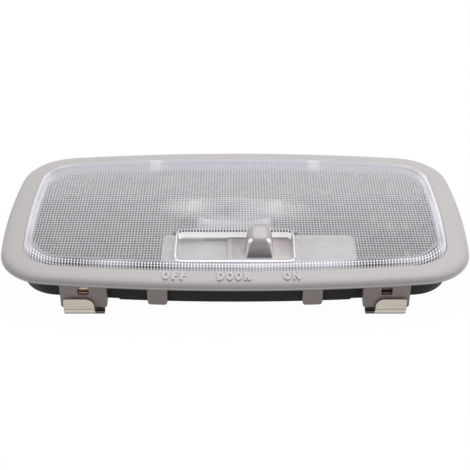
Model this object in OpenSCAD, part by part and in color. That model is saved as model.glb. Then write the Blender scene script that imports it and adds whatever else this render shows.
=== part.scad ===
// Overhead cabin light: a moulded frame, a clear snap-in lens, a three-position slide switch
// and a festoon bulb, held in a roof cut-out by four sprung steel clips.
// It lies on its clips with the lens up. X is its length, Y its depth, and the floor is at Z 0.

/* [Bezel] */
// Length of the frame
bezel_length = 176; // [160:1:200]
// Depth of the frame
bezel_depth = 96; // [90:1:110]
// How far the short sides bow outwards
side_bow = 4.6; // [3.5:0.1:6]
// How far the long sides bow outwards
front_bow = 6.5; // [5:0.1:8]
// Corner radius of the outer edge
corner_r = 21; // [18:0.5:25]
// Width of the frame from its outer edge to the lens
frame_width = 8.5; // [7.5:0.1:10]
// Height of the frame at the lens, above its lower edge
frame_rise = 2.9; // [2.5:0.1:3.6]
// Width of the rolled outer edge
roll_width = 3.6; // [2.5:0.1:4.5]
// Thickness of the frame
frame_wall = 2; // [1.6:0.1:2.4]
// Width of the ledge that carries the lens
ledge_width = 2.4; // [2:0.1:3]

/* [Lens] */
// How far the lens stands above the frame
lens_proud = 1.5; // [1:0.1:2]
// Extra height of the lens at its middle
lens_crown = 0.5; // [0.2:0.1:1]
// Wall of the lens
lens_wall = 1.6; // [1.2:0.1:1.8]
// Gap between the lens and the frame
lens_gap = 0.15; // [0.1:0.05:0.3]
// Distance of each rear snap tab from the middle
snap_x = 32.6; // [25:0.5:45]
// Width of a rear snap tab
snap_width = 4.6; // [3:0.1:6]

/* [Switch window] */
// Length of the window in the lens
window_length = 42; // [40:0.2:48]
// Depth of the window in the lens
window_depth = 18; // [17:0.2:18.6]
// Distance from the front edge of the lens to the middle of the window
window_edge = 14.6; // [14.4:0.1:15.6]
// Corner radius of the window
window_r = 2; // [1:0.1:3]
// How much the window widens on each side, up to the top of the lens
window_flare = 0.5; // [0.2:0.1:0.8]
// Wall of the collar round the window
collar_wall = 1.2; // [1:0.1:1.4]
// Depth from the top of the lens to the switch base
window_sink = 3.3; // [3:0.1:3.8]

/* [Switch] */
// Distance between two switch positions
detent_pitch = 9; // [7:0.1:9]
// Position shown: 1 is on, 0 is door, -1 is off
switch_position = 1; // [-1:1:1]
// Length of the knob at its foot
knob_length = 10.7; // [9:0.1:11.4]
// Length of the knob at its top, over the rounded edges
knob_top_length = 8.7; // [7:0.1:9]
// Rounding of the knob's top edges
knob_round = 2.4; // [1.6:0.1:2.8]
// Height of the knob above the lens
knob_height = 4.5; // [3.5:0.1:6]
// Length of the knob's cover plate
wing_length = 23.8; // [20:0.1:24]
// Thickness of the knob's cover plate
wing_wall = 0.9; // [0.7:0.1:1]
// Thickness of a knob leg
knob_leg = 1; // [0.8:0.1:1.2]
// Length of the switch base
base_length = 72; // [70:0.5:76]
// Thickness of the switch base
base_wall = 1.6; // [1.4:0.1:2]
// Gap round sliding pieces
slide_gap = 0.3; // [0.25:0.05:0.35]

/* [Bulb] */
// Diameter of the bulb's glass
bulb_d = 10; // [9:0.5:10.5]
// Distance between the bulb's two holders
bulb_span = 41; // [39:0.5:44]
// Diameter of the bulb's end caps
cap_d = 7.4; // [6:0.1:7.4]
// Length of the round part of an end cap
cap_length = 5; // [4:0.1:6]
// Length of the reflector under the bulb
reflector_length = 30; // [26:0.5:34]
// Depth of the reflector from front to rear
reflector_depth = 23.2; // [21:0.1:24]
// Thickness of the reflector's sheet
reflector_sheet = 0.5; // [0.4:0.05:0.6]

/* [Housing] */
// Distance of the housing wall inside the frame's edge
housing_inset = 8; // [7.8:0.1:8.2]
// Depth of the housing below the frame's edge
housing_drop = 10.3; // [10:0.1:10.6]
// Wall of the housing
housing_wall = 1.5; // [1.3:0.1:1.6]
// Length of the thicker middle of the housing's floor
keel_length = 84.6; // [78:0.2:88]
// Extra depth of the well below the bulb
well_drop = 2.8; // [2:0.1:3]
// Thickness of the stamped contact strips
strip = 0.6; // [0.5:0.05:0.7]
// Width of the stamped contact strips
strip_width = 2.4; // [2:0.1:2.6]

/* [Legs and clips] */
// Distance of each clip leg from the frame's end
leg_end = 33.2; // [30:0.1:35]
// Width of a clip leg
leg_width = 16.8; // [15.5:0.1:18]
// Distance of the legs inside the frame's edge
leg_inset = 3.2; // [3:0.1:3.4]
// Length of the clip legs below the frame's edge
leg_drop = 11.5; // [11:0.1:13]
// Front wall of a leg
leg_wall = 1.8; // [1.6:0.1:2]
// Distance of each housing hook from the middle
hook_x = 28.2; // [26:0.1:32]
// Width of a housing hook
hook_width = 7.2; // [6:0.1:9]
// Length of the housing hooks below the frame's edge
hook_drop = 11.3; // [10.8:0.1:11.8]
// Distance of the clip's foot below the leg
clip_drop = 3; // [2.6:0.1:4]
// Width of a spring clip
clip_width = 14.6; // [13:0.1:15]
// Width of the clip's outer leaf
leaf_width = 11.2; // [9:0.1:12]
// Thickness of the clip's sheet
clip_sheet = 0.5; // [0.4:0.05:0.6]

/* [Hidden] */
$fn = 48;
eps = 0.01;

// Heights are counted from the lower edge of the frame, which is this far above the floor
rim_z = leg_drop + clip_drop;

// The lens opening's own bows and corner, next to those of the outer edge
lens_side_bow = 2.9;
lens_front_bow = 5.3;
lens_corner_r = 14;
side_steps = 4;
corner_steps = 11;
front_steps = 7;

// Points on an arc about c, from angle a0 up to but without a1
function arc(c, r, a0, a1, n) = [for (i = [0:n - 1]) c + r * [cos(a0 + (a1 - a0) * i / n), sin(a0 + (a1 - a0) * i / n)]];

// One quarter of a bowed rectangle: a side arc, a corner arc and a front arc, each tangent to the next
function quarter(a, b, sx, sy, r) =
    let (front_r = (a * a + sy * sy) / (2 * sy),
         side_r = (b * b + sx * sx) / (2 * sx),
         front_c = [0, b - front_r],
         side_c = [a - side_r, 0],
         d1 = front_r - r,
         d2 = side_r - r,
         gap = norm(side_c - front_c),
         k = (d1 * d1 - d2 * d2 + gap * gap) / (2 * gap),
         h = sqrt(d1 * d1 - k * k),
         u = (side_c - front_c) / gap,
         v = [-u[1], u[0]],
         p = front_c + k * u + h * v,
         q = front_c + k * u - h * v,
         corner_c = p[0] + p[1] > q[0] + q[1] ? p : q,
         a1 = atan2(corner_c[1] - front_c[1], corner_c[0] - front_c[0]),
         a2 = atan2(corner_c[1] - side_c[1], corner_c[0] - side_c[0]))
    concat(arc(side_c, side_r, 0, a2, side_steps),
           arc(corner_c, r, a2, a1, corner_steps),
           arc(front_c, front_r, a1, 90, front_steps));

function closed(q, b) =
    let (half = concat(q, [[0, b]], [for (i = [len(q) - 1:-1:1]) [-q[i][0], q[i][1]]]))
    concat(half, [for (p = half) -p]);

// The outline of the frame, moved inwards by an inset: its bows and corner pass into those of the lens
function outline(inset) =
    let (t = inset / frame_width,
         a = bezel_length / 2 - inset,
         b = bezel_depth / 2 - inset)
    closed(quarter(a, b,
                   side_bow + t * (lens_side_bow - side_bow),
                   front_bow + t * (lens_front_bow - front_bow),
                   corner_r + t * (lens_corner_r - corner_r)), b);

// Y of the outline's front edge, as a distance from the middle, at a given X
function edge_y(inset, x) =
    let (t = inset / frame_width,
         a = bezel_length / 2 - inset,
         sy = front_bow + t * (lens_front_bow - front_bow),
         r = (a * a + sy * sy) / (2 * sy))
    bezel_depth / 2 - inset - r + sqrt(r * r - x * x);

function at_height(points, z) = [for (p = points) [p[0], p[1], z]];

// Two triangles between neighbouring points of two rings that start at p and q
function patch(p, q, j, n) = [[p + j, q + (j + 1) % n, p + (j + 1) % n], [p + j, q + j, q + (j + 1) % n]];

// A ring whose section is a closed list of [inset, z], walked up its outer side and down its inner one
module swept_ring(section) {
    n = len(outline(0));
    m = len(section);
    points = [for (s = section) each at_height(outline(s[0]), s[1])];
    polyhedron(points, [for (i = [0:m - 1], j = [0:n - 1]) each patch(i * n, (i + 1) % m * n, j, n)], convexity = 6);
}

// A closed shell from a list of rings, with a point at each end
module capped_rings(start, rings, finish) {
    n = len(rings[0]);
    m = len(rings);
    points = concat([start], [for (r = rings) each r], [finish]);
    first = [for (j = [0:n - 1]) [0, 1 + j, 1 + (j + 1) % n]];
    walls = [for (i = [0:m - 2], j = [0:n - 1]) each patch(1 + i * n, 1 + (i + 1) * n, j, n)];
    last = [for (j = [0:n - 1]) [m * n + 1, 1 + (m - 1) * n + (j + 1) % n, 1 + (m - 1) * n + j]];
    polyhedron(points, concat(first, walls, last), convexity = 6);
}

module slab(z0, z1) {
    translate([0, 0, z0]) linear_extrude(z1 - z0) children();
}

module rounded(length, depth, r) {
    square([length - 2 * r, depth], center = true);
    square([length, depth - 2 * r], center = true);
    for (x = [-1, 1], y = [-1, 1])
        translate([x * (length / 2 - r), y * (depth / 2 - r)]) circle(r);
}

// A rounded rectangle seen from above, with one corner radius at the front and another at the rear
function corner(c, r, a) = [for (i = [0:6]) c + r * [cos(a + 15 * i), sin(a + 15 * i)]];
function plan_ring(half, y0, y1, front_r, rear_r, z) =
    at_height(concat(corner([half - rear_r, y1 - rear_r], rear_r, 0),
                     corner([rear_r - half, y1 - rear_r], rear_r, 90),
                     corner([front_r - half, y0 + front_r], front_r, 180),
                     corner([half - front_r, y0 + front_r], front_r, 270)), z);

module box(x0, x1, y0, y1, z0, z1) {
    translate([x0, y0, z0]) cube([x1 - x0, y1 - y0, z1 - z0]);
}

// Both long sides
module front_and_rear() {
    children();
    mirror([0, 1, 0]) children();
}

module both_ends() {
    children();
    mirror([1, 0, 0]) children();
}

// The place of the front right leg: x runs along the edge, y inwards from the leg's face
module at_leg() {
    translate([leg_x, -edge_y(leg_inset, leg_x), 0]) children();
}

module at_hook() {
    translate([hook_x, -edge_y(housing_inset - hook_gap - hook_wall, hook_x), 0])
        rotate([0, 0, hook_turn]) children();
}

// A rounded-off plate standing on the floor of the frame, seen along Y
module tab_face(width, z0, z1, r) {
    square_x = width / 2;
    translate([-square_x, z0 + r]) square([width, z1 - z0 - r]);
    translate([-square_x + r, z0]) square([width - 2 * r, r + eps]);
    for (s = [-1, 1]) translate([s * (square_x - r), z0 + r]) circle(r);
}

module tab(width, y0, y1, z0, z1, r) {
    translate([0, y1, 0]) rotate([90, 0, 0]) linear_extrude(y1 - y0) tab_face(width, z0, z1, r);
}

// A shape drawn as [y, z] and pulled along X
module along_x(x0, x1) {
    translate([x0, 0, 0]) rotate([90, 0, 90]) linear_extrude(x1 - x0) children();
}

leg_x = bezel_length / 2 - leg_end;
leg_side_wall = 1.4;
leg_depth = housing_inset - leg_inset - 0.2;
leg_window_width = 4.1;
leg_window_height = 3.4;
leg_window_z = -4.35;
under_z = 0.8;
ledge_z = 0.8;
ledge_under = -0.6;
ledge_inset = frame_width + ledge_width;
step_inset = frame_width - 1.9;
hook_wall = 1.5;
hook_gap = 0.2;
hook_turn = asin(hook_x / 590);
hook_catch_z = -7.2;
snap_reach = 1;

module leg() {
    difference() {
        tab(leg_width, 0, leg_depth, -leg_drop, under_z + 0.6, 1);
        translate([0, 0, -leg_drop - 1])
            box(-leg_width / 2 + leg_side_wall, leg_width / 2 - leg_side_wall, leg_wall, leg_depth + 1, 0, leg_drop + 1 + under_z);
        translate([0, leg_wall + 1, leg_window_z]) rotate([90, 0, 0]) linear_extrude(leg_wall + 2)
            rounded(leg_window_width, leg_window_height, 0.5);
    }
}

module hook() {
    tab(hook_width, 0, hook_wall, -hook_drop, under_z + 0.6, 1.2);
    along_x(-hook_width / 2 + 1.4, hook_width / 2 - 1.4)
        polygon([[hook_wall - eps, hook_catch_z], [hook_wall + 0.9, hook_catch_z], [hook_wall + 0.9, hook_catch_z - 0.4], [hook_wall - eps, hook_catch_z - 1.8]]);
}

module bezel() {
    section = [[0, 0], [0, 0.45], [0.3, 0.6], [0.5, 1.3], [0.95, 1.95], [roll_width / 2, 2.45], [roll_width, frame_rise - 0.1],
               [frame_width - 0.25, frame_rise], [frame_width, frame_rise - 0.25], [frame_width, ledge_z],
               [ledge_inset, ledge_z], [ledge_inset, ledge_under], [step_inset, ledge_under], [step_inset, under_z],
               [frame_wall + 0.4, under_z - 0.3], [frame_wall - 0.3, 0]];
    color("#B9B7B8") translate([0, 0, rim_z]) {
        difference() {
            swept_ring(section);
            for (s = [-1, 1])
                translate([s * snap_x, edge_y(frame_width, snap_x), 0])
                    box(-snap_width / 2 - lens_gap, snap_width / 2 + lens_gap, -2, snap_reach, ledge_z, frame_rise + 1);
        }
        front_and_rear() both_ends() {
            difference() {
                at_leg() leg();
                slab(-leg_drop - 1, ledge_under) polygon(outline(housing_inset - 0.2));
            }
            at_hook() hook();
        }
    }
}

lens_edge = frame_width + lens_gap;
lens_top = frame_rise + lens_proud;
window_y = -(bezel_depth / 2 - frame_width - window_edge);
collar_z = lens_top - window_sink + 0.3;

// One ring of the domed middle of the lens: the edge outline drawn in by a share
function dome_ring(inset, share, z) = [for (p = outline(inset)) [p[0] * share, p[1] * share, z]];
function dome_z(share) = lens_crown * (1 - share * share);

module lens_shell() {
    shares = [1, 0.75, 0.5, 0.25];
    outer = concat([at_height(outline(lens_edge), ledge_z), at_height(outline(lens_edge), frame_rise)],
                   [for (a = [25:22:91]) at_height(outline(lens_edge + lens_proud * (1 - cos(a))), frame_rise + lens_proud * sin(a))],
                   [for (s = shares) dome_ring(lens_edge + 2.4, s, lens_top + dome_z(s))]);
    inner = concat([at_height(outline(lens_edge + lens_wall), ledge_z), at_height(outline(lens_edge + lens_wall), frame_rise - 0.6)],
                   [for (a = [30, 60]) at_height(outline(lens_edge + lens_wall + 0.6 * (1 - cos(a))), frame_rise - 0.6 + 0.5 * sin(a))],
                   [for (s = shares) dome_ring(lens_edge + lens_wall + 1.4, s, lens_top - lens_wall + dome_z(s))]);
    n = len(outer[0]);
    rings = concat([for (i = [len(inner) - 1:-1:0]) inner[i]], outer);
    capped_rings([0, 0, lens_top - lens_wall + lens_crown], rings, [0, 0, lens_top + lens_crown]);
}

// The window's outline at a height: it widens upwards
function window_ring(z) =
    let (flare = window_flare * (z - collar_z) / (lens_top - collar_z),
         half_depth = window_depth / 2 + flare)
    plan_ring(window_length / 2 + flare, -half_depth, half_depth, window_r, window_r, z);

module lens() {
    color([0.93, 0.94, 0.98, 0.4]) translate([0, 0, rim_z]) {
        difference() {
            union() {
                lens_shell();
                translate([0, window_y, 0]) slab(collar_z, lens_top - 0.2)
                    rounded(window_length + 2 * collar_wall, window_depth + 2 * collar_wall, window_r + collar_wall);
                for (s = [-1, 1])
                    translate([s * snap_x, edge_y(frame_width, snap_x), 0])
                        box(-snap_width / 2, snap_width / 2, -0.6, snap_reach - lens_gap, ledge_z, frame_rise);
            }
            translate([0, window_y, 0])
                capped_rings([0, 0, 0], [window_ring(0), window_ring(lens_top + 2)], [0, 0, lens_top + 2]);
        }
    }
}

wing_z = lens_top - window_sink - wing_wall;
base_z = wing_z - 0.05;
base_depth = window_depth + 2 * collar_wall + 3.2;
base_x = 8.75;
base_y = window_y + 0.5;
floor_z = -(housing_drop - housing_wall);
wing_depth = window_depth + 2 * collar_wall - 0.6;
leg_y = wing_depth / 2 - knob_leg;
knob_leg_length = 5;
travel = 2 * detent_pitch;
rail_y = window_depth / 2 + collar_wall + 0.2;
rail_drop = 4;
carriage_length = 9;
carriage_top = base_z - base_wall - 0.05;
carriage_bottom = floor_z + 2.2;
nose_r = 0.8;
nose_x = 8;
knob_x = switch_position * detent_pitch;
rail_half = detent_pitch + nose_x + 4;
foot_d = 4;
foot_pin_d = 2;
foot_pins = [[-rail_half + 1, base_depth / 2 - 3.6], [-rail_half + 1, 2.9 - base_depth / 2],
             [rail_half + 10, base_depth / 2 - 3.6], [rail_half + 10, 4.6 - base_depth / 2]];

module switch_base() {
    color("#DCD8CE") translate([0, 0, rim_z]) {
        difference() {
            union() {
                intersection() {
                    translate([base_x, base_y, 0]) slab(base_z - base_wall, base_z) rounded(base_length, base_depth, 2.5);
                    slab(base_z - base_wall - 1, base_z + 1) polygon(outline(ledge_inset + 0.4));
                }
                translate([0, window_y, 0]) {
                    box(-rail_half, rail_half, rail_y, rail_y + 1.9, base_z - base_wall - rail_drop, base_z - base_wall + eps);
                    box(-rail_half, rail_half, -rail_y - 0.9, -rail_y, base_z - base_wall - rail_drop, base_z - base_wall + eps);
                }
                for (p = foot_pins) translate([p[0], base_y + p[1], 0]) {
                    translate([0, 0, floor_z]) cylinder(d = foot_d, h = base_z - floor_z - 0.5);
                    translate([0, 0, floor_z - 1]) cylinder(d = foot_pin_d, h = 2);
                }
            }
            for (s = [-1, 1])
                translate([0, window_y + s * (leg_y + knob_leg / 2), base_z - base_wall - 1])
                    linear_extrude(base_wall + 2) square([travel + knob_leg_length + 2 * slide_gap, knob_leg + 2 * slide_gap], center = true);
            for (p = [-1, 0, 1])
                translate([nose_x + p * detent_pitch, window_y + rail_y - 0.2, base_z - base_wall - rail_drop - 1])
                    cylinder(r = nose_r + 0.4, h = rail_drop + 1);
        }
    }
}

knob_top = lens_top + knob_height + 0.5;
knob_front = -3.9;
knob_rear = 7.1;
knob_tilt = 1.1;
front_round = 0.8;

function round_in(r, z) = let (over = max(0, z - knob_top + r)) r - sqrt(r * r - over * over);

knob_mid = (knob_front + knob_rear) / 2;

// The knob's outline at a height: its sides lean in, its front corners get rounder upwards, and its top rises to the rear
function knob_ring(z, inset) =
    let (t = (z - wing_z) / (knob_top - wing_z),
         sides = round_in(knob_round, z) + inset,
         half = (knob_length + t * (knob_top_length - knob_length)) / 2 - sides,
         level = plan_ring(half, knob_front + 0.45 * t + round_in(front_round, z) + inset, knob_rear - 0.7 * t - sides,
                           min(0.8 + 1.6 * t, half - 0.2), min(4, half - 0.2), z))
    [for (p = level) [p[0], p[1], z + t * knob_tilt * (p[1] - knob_mid) / (knob_rear - knob_front)]];

module knob_solid() {
    levels = concat([wing_z], [for (a = [0:15:90]) knob_top - knob_round * (1 - sin(a))]);
    capped_rings([0, knob_mid, wing_z], [for (z = levels) knob_ring(z, 0)], [0, knob_mid, knob_top]);
}

module knob_hollow() {
    low = wing_z - 0.5;
    high = knob_top - 1.7;
    capped_rings([0, knob_mid, low], [knob_ring(low, 1.5), knob_ring(high - 1.5, 1.5), knob_ring(high, 2.2)], [0, knob_mid, high]);
}

module switch_knob() {
    color("#C9C6C4") translate([knob_x, window_y, rim_z]) {
        difference() {
            union() {
                slab(wing_z, wing_z + wing_wall) rounded(wing_length, wing_depth, 0.6);
                knob_solid();
            }
            knob_hollow();
        }
        for (s = [0, 1]) mirror([0, s, 0]) {
            box(-knob_leg_length / 2, knob_leg_length / 2, leg_y, leg_y + knob_leg, carriage_top - 3.4, wing_z + eps);
            along_x(-knob_leg_length / 2, knob_leg_length / 2)
                polygon([[leg_y + eps, carriage_top - 2.2], [leg_y - 0.6, carriage_top - 2.2], [leg_y - 0.6, carriage_top - 2.5], [leg_y + eps, carriage_top - 3.4]]);
        }
    }
}

carriage_y = leg_y - 0.05;
pocket_z = carriage_bottom + 2.1;

module slider_carriage() {
    color("#E8E4DA") translate([knob_x, window_y, rim_z]) {
        difference() {
            box(-carriage_length / 2, carriage_length / 2, -carriage_y, carriage_y, carriage_bottom, carriage_top);
            box(-3, 3, -6.4, 6.4, carriage_bottom - 1, pocket_z);
            for (s = [-1, 1])
                translate([0, s * carriage_y, 0])
                    box(-knob_leg_length / 2 - 0.1, knob_leg_length / 2 + 0.1, -0.75, 0.75, carriage_bottom - 1, carriage_top - 2.15);
        }
        box(carriage_length / 2 - eps, nose_x + 0.8, carriage_y - 1, carriage_y - 0.2, carriage_top - 3.4, carriage_top - 0.4);
        intersection() {
            translate([nose_x, rail_y - 0.3 - nose_r, carriage_top - 3.4]) cylinder(r = nose_r, h = 3);
            box(nose_x - 2, nose_x + 2, carriage_y - 1, rail_y, carriage_top - 4, carriage_top);
        }
    }
}

bus_top = floor_z + strip;
common_y = window_y - 4.6;
switched_y = window_y + 4.6;
bridge_z = pocket_z - 2.4;

module contact_bridge() {
    foot_z = bus_top + 0.05;
    color("#C98A50") translate([knob_x, window_y, rim_z]) along_x(-2.5, 2.5) {
        translate([-5.6, bridge_z]) square([11.2, 0.5]);
        for (s = [0, 1]) mirror([s, 0]) {
            translate([5.1, foot_z]) square([0.5, bridge_z - foot_z + eps]);
            translate([3.6, foot_z]) square([2, 0.5]);
        }
    }
}

module contact_spring() {
    leaf = 0.3;
    rise = pocket_z - bridge_z - 0.5 - 0.04;
    half = 4.8;
    r = (half * half + rise * rise) / (2 * rise);
    color("#A9A9A4") translate([knob_x, window_y, rim_z]) along_x(-2, 2)
        intersection() {
            translate([0, pocket_z - 0.02 - r]) difference() {
                circle(r, $fn = 96);
                circle(r - leaf, $fn = 96);
            }
            translate([-half, bridge_z + 0.52]) square([2 * half, 3]);
        }
}

base_rear = base_y + base_depth / 2;
housing_rear = bezel_depth / 2 - housing_inset - housing_wall;
bulb_y = (base_rear + housing_rear) / 2;
bulb_z = -4.2;
half_span = bulb_span / 2;
socket_x = bezel_length / 2 - 28;
pin_pitch = 6;
socket_half = 9.6;
socket_depth = 5.3;
socket_top = -2.2;
well_z = floor_z - well_drop;
well_half = reflector_depth / 2 - 3;
well_length = reflector_length + 0.4;

// A standing contact blade with a hole for the bulb's end
module bulb_blade(s) {
    translate([s * half_span, bulb_y, 0]) difference() {
        union() {
            box(min(0, s * strip), max(0, s * strip), -3.4, 3.4, floor_z, bulb_z);
            translate([min(0, s * strip), 0, bulb_z]) rotate([0, 90, 0]) cylinder(r = 3.4, h = strip);
        }
        translate([-2, 0, bulb_z]) rotate([0, 90, 0]) cylinder(r = 1.5, h = 4);
    }
}

module flat_strip(x0, x1, y0, y1) {
    box(x0, x1, y0, y1, floor_z, bus_top);
}

half_strip = strip_width / 2;
common_x = base_x - base_length / 2 + half_strip + 0.05;
contact_half = 3;
inner_y = window_y + 15.5;
rail_end = 14;

module common_busbar() {
    color("#C08A4E") translate([0, 0, rim_z]) {
        flat_strip(common_x - half_strip, rail_end, common_y - half_strip, common_y + half_strip);
        flat_strip(common_x - half_strip, common_x + half_strip, common_y, bulb_y + half_strip);
        flat_strip(common_x, -half_span, bulb_y - half_strip, bulb_y + half_strip);
        bulb_blade(-1);
    }
}

// A strip's climb over the socket wall and its pin, seen as [y, z] from the socket's middle
module pin_end(reach) {
    wall = socket_depth + 0.1;
    translate([-reach, floor_z]) square([reach - wall, strip]);
    translate([-wall - strip, floor_z]) square([strip, socket_top - floor_z + strip]);
    translate([-wall - strip, socket_top]) square([wall + strip + 0.4, strip]);
    translate([-0.4, -housing_drop + 2]) square([0.8, housing_drop - 2 + socket_top + eps]);
}

module power_busbar() {
    color("#C08A4E") translate([0, 0, rim_z]) {
        bulb_blade(1);
        flat_strip(half_span, socket_x - pin_pitch + half_strip, bulb_y - half_strip, bulb_y + half_strip);
        translate([socket_x - pin_pitch, 0, 0]) mirror([0, 1, 0]) along_x(-half_strip, half_strip) pin_end(bulb_y);
    }
}

module door_busbar() {
    color("#C08A4E") translate([0, 0, rim_z]) {
        flat_strip(-contact_half, contact_half, switched_y - half_strip, switched_y + half_strip);
        flat_strip(-half_strip, half_strip, switched_y, inner_y + half_strip);
        flat_strip(-half_strip, socket_x + half_strip, inner_y - half_strip, inner_y + half_strip);
        translate([socket_x, 0, 0]) along_x(-half_strip, half_strip) pin_end(-inner_y);
    }
}

module ground_busbar() {
    color("#C08A4E") translate([0, 0, rim_z]) {
        flat_strip(detent_pitch - contact_half, socket_x + pin_pitch + half_strip, switched_y - half_strip, switched_y + half_strip);
        translate([socket_x + pin_pitch, 0, 0]) along_x(-half_strip, half_strip) pin_end(-switched_y);
    }
}

glass_half = half_span - cap_length - 1.4;
cap_inner = half_span - 2 - cap_length;

module bulb_glass() {
    neck = cap_d / 2 - 0.5;
    section = concat([[neck, -glass_half - 1.2]],
                     [for (t = [-75:15:75]) [neck + (bulb_d / 2 - neck) * cos(t * 1.2), (glass_half - 0.7) * sin(t) / sin(75)]],
                     [[neck, glass_half + 1.2]]);
    color([0.95, 0.95, 0.97, 0.4]) translate([0, bulb_y, bulb_z + rim_z]) rotate([0, 90, 0]) rotate_extrude()
        difference() {
            polygon(concat([[0, -glass_half - 1.2]], section, [[0, glass_half + 1.2]]));
            polygon(concat([[0, -glass_half - 2]], [for (p = section) [p[0] - 0.6, p[1] * 1.1]], [[0, glass_half + 2]]));
        }
}

module bulb_cap(s) {
    color("#B7B4AE") translate([0, bulb_y, bulb_z + rim_z]) rotate([0, s * 90, 0]) rotate_extrude()
        polygon([[0, glass_half + 1.5], [cap_d / 2 - 0.45, glass_half + 1.5], [cap_d / 2 - 0.45, glass_half - 0.4], [cap_d / 2, glass_half - 0.4],
                 [cap_d / 2, half_span - 2], [cap_d / 2 - 0.6, half_span - 1.5], [1.46, half_span], [0.9, half_span + 0.5], [0, half_span + 0.5]]);
}

module bulb_filament() {
    wire = 0.4;
    color("#6E6E70") translate([0, bulb_y, bulb_z + rim_z]) rotate([0, 90, 0]) {
        translate([0, 0, -glass_half - 1.5]) cylinder(d = wire, h = 2 * glass_half + 3);
        for (i = [-7:7]) translate([0, 0, i * 0.6]) rotate_extrude($fn = 24) translate([0.34, 0]) circle(0.17, $fn = 12);
    }
}

module reflector() {
    r = bulb_z - well_z;
    flat = floor_z + reflector_sheet;
    half = reflector_depth / 2;
    under = asin((bulb_z - floor_z) / r);
    over = asin((bulb_z - flat) / (r - reflector_sheet));
    outer = [for (i = [0:24]) let (t = 180 + under + (180 - 2 * under) * i / 24) [0, bulb_z] + r * [cos(t), sin(t)]];
    inner = [for (i = [0:24]) let (t = 360 - over - (180 - 2 * over) * i / 24) [0, bulb_z] + (r - reflector_sheet) * [cos(t), sin(t)]];
    color("#D9D9DB") translate([0, bulb_y, rim_z]) along_x(-reflector_length / 2, reflector_length / 2)
        polygon(concat([[-half, floor_z]], outer, [[half, floor_z], [half, flat]], inner, [[-half, flat]]));
}

module rear_housing() {
    outer_well = well_half + housing_wall;
    color("#2E332E") translate([0, 0, rim_z]) {
        difference() {
            union() {
                slab(-housing_drop, ledge_under) polygon(outline(housing_inset));
                slab(-housing_drop - 0.5, -housing_drop + eps) intersection() {
                    polygon(outline(housing_inset));
                    square([keel_length, bezel_depth], center = true);
                }
                translate([0, bulb_y, 0]) slab(well_z - housing_wall, -housing_drop) rounded(well_length + 2 * housing_wall, 2 * outer_well, 2);
            }
            difference() {
                slab(floor_z, ledge_under + 1) polygon(outline(housing_inset + housing_wall));
                translate([socket_x, 0, 0]) slab(floor_z - 1, socket_top) rounded(2 * socket_half, 2 * socket_depth, 1);
                translate([-detent_pitch, switched_y, 0]) slab(floor_z - 1, bus_top) square([8, strip_width], center = true);
            }
            translate([0, bulb_y, 0]) slab(well_z, floor_z + 1) rounded(well_length, 2 * well_half, 1);
            translate([socket_x, 0, 0]) slab(-housing_drop - 1, socket_top - 1.2)
                rounded(2 * socket_half - 2.4, 2 * socket_depth - 2.4, 0.8);
            for (i = [-1:1]) translate([socket_x + i * pin_pitch, 0, -housing_drop]) slab(0, housing_drop)
                square([strip_width + 0.02, 0.82], center = true);
            for (p = foot_pins)
                translate([p[0], base_y + p[1], floor_z - 1.02]) cylinder(d = foot_pin_d + 0.02, h = 2);
            front_and_rear() both_ends() at_hook()
                box(-hook_width / 2 + 1.1, hook_width / 2 - 1.1, hook_wall + hook_gap - 0.2, hook_wall + hook_gap + housing_wall + 0.3, hook_catch_z - 1.9, hook_catch_z + 0.05);
        }
    }
}

// The clip's sheet seen from its end as [y, z]: inner leaf, round foot, leaning heel and upright outer leaf
heel_lean = 20;
foot_r = 1.5;
clip_y = leg_wall + clip_sheet / 2 + 0.05;
foot_y = clip_y - foot_r;
foot_z = -leg_drop - clip_drop + foot_r + clip_sheet / 2;
heel_z = -11.2;
leaf_top = -7;
inner_top = leg_window_z + leg_window_height / 2 - 0.4;
heel_y = foot_y + foot_r * cos(180 - heel_lean) - (heel_z - foot_z) * tan(heel_lean);

function clip_side(d) = concat([[clip_y + d, inner_top]],
    [for (t = [0:-12:heel_lean - 180]) [foot_y, foot_z] + (foot_r + d) * [cos(t), sin(t)]],
    [[heel_y - d, heel_z], [heel_y - d + 0.25, leaf_top]]);

// The outer leaf's outline as [x, z]: a large round on its inner top corner and a small one on its outer
module leaf_face(x0, x1, z0, z1) {
    big = 3.2;
    small = 0.9;
    polygon(concat([[x0, z0]], [for (t = [180:-15:90]) [x0 + big, z1 - big] + big * [cos(t), sin(t)]],
                   [for (t = [90:-15:0]) [x1 - small, z1 - small] + small * [cos(t), sin(t)]], [[x1, z0]]));
}

module spring_clip() {
    out = clip_side(clip_sheet / 2);
    in = clip_side(-clip_sheet / 2);
    x1 = clip_width / 2;
    inner_half = leg_width / 2 - leg_side_wall - 0.2;
    intersection() {
        along_x(-x1, x1) polygon(concat(out, [for (i = [len(in) - 1:-1:0]) in[i]]));
        union() {
            box(-x1, x1, -9, 9, foot_z - 9, foot_z + 0.4);
            translate([0, foot_y, 0]) rotate([90, 0, 0]) linear_extrude(9) leaf_face(x1 - leaf_width, x1, foot_z, leaf_top);
            box(-inner_half, inner_half, foot_y, 9, foot_z, 9);
        }
    }
    box(-1.6, 1.6, 0.5, clip_y, leg_window_z - 1.3, leg_window_z - 1.3 + clip_sheet);
}

module placed_clip() {
    color("#BDB6A6") translate([0, 0, rim_z]) at_leg() spring_clip();
}

module spring_clip_front_right() {
    placed_clip();
}

module spring_clip_front_left() {
    mirror([1, 0, 0]) placed_clip();
}

module spring_clip_rear_right() {
    mirror([0, 1, 0]) placed_clip();
}

module spring_clip_rear_left() {
    mirror([1, 0, 0]) mirror([0, 1, 0]) placed_clip();
}

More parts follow.
